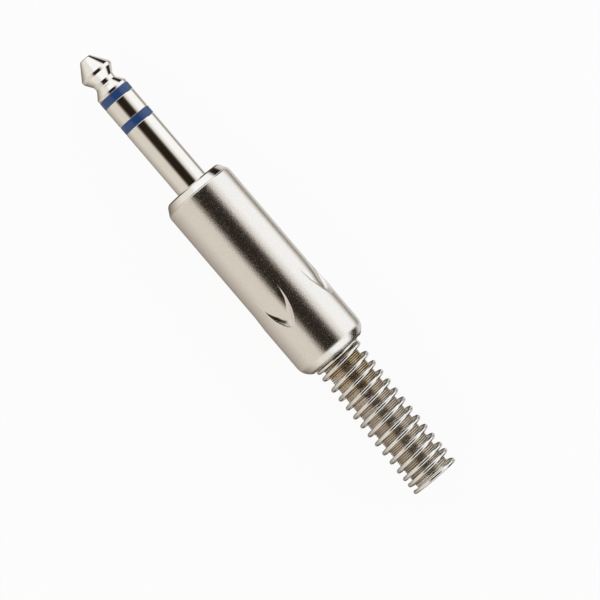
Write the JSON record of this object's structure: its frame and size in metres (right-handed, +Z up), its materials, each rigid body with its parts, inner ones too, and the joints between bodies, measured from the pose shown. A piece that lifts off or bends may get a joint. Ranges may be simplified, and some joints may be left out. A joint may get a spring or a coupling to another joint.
{
  "type": "stereo jack plug",
  "caption": "Stereo jack plug with a metal finger, a screw-on metal barrel and a spring strain relief, for joining an audio cable to a 6.35 mm socket.",
  "frame": {"origin": "on the plug's axis, in the front face of the flange, where the finger begins", "axes": "+X along the finger towards the tip, +Z up as the plug lies on a table, +Y to its left"},
  "size_m": [0.0972, 0.0142, 0.0142],
  "materials": {
    "polished_nickel": "polished nickel plate on turned brass",
    "satin_nickel": "fine satin nickel plate on turned brass",
    "blue_plastic": "semi-gloss blue moulded washer",
    "white_nylon": "plain extruded tube",
    "tinned_brass": "stamped brass with a tin plate",
    "hard_fibre": "punched red-brown fibre",
    "liner_plastic": "thin translucent tube",
    "spring_wire": "bright nickel-plated steel wire",
    "fine_spring_wire": "fine drawn steel wire with a faint golden tint at the barrel"
  },
  "bodies": {
    "finger": {"tip_contact": "polished_nickel", "tip_insulating_washer": "blue_plastic", "tip_insulating_tube": "white_nylon", "ring_contact": "polished_nickel", "ring_insulating_washer": "blue_plastic", "ring_insulating_tube": "white_nylon", "sleeve_body": "polished_nickel", "ground_terminal": "tinned_brass", "ground_fibre_washer": "hard_fibre", "ring_terminal": "tinned_brass", "terminal_fibre_washer": "hard_fibre", "tip_terminal": "tinned_brass"},
    "strain_relief": {"insulating_liner": "liner_plastic", "outer_spring": "spring_wire", "inner_spring": "fine_spring_wire"},
    "shell": {"barrel": "satin_nickel"}
  },
  "joints": [
    {"name": "strain_relief_travel", "type": "slide", "parent": "finger", "child": "strain_relief", "axis": [-1, 0, 0], "range_m": [0, 0.005]},
    {"name": "barrel_unscrew", "type": "hinge", "parent": "strain_relief", "child": "shell", "pos_m": [0, 0, 0], "axis": [-1, 0, 0], "range_deg": [0, 1800]}
  ],
  "couplings": [
    {"joint": "strain_relief_travel", "follows": "barrel_unscrew", "m_per_rad": 0.00015915}
  ]
}
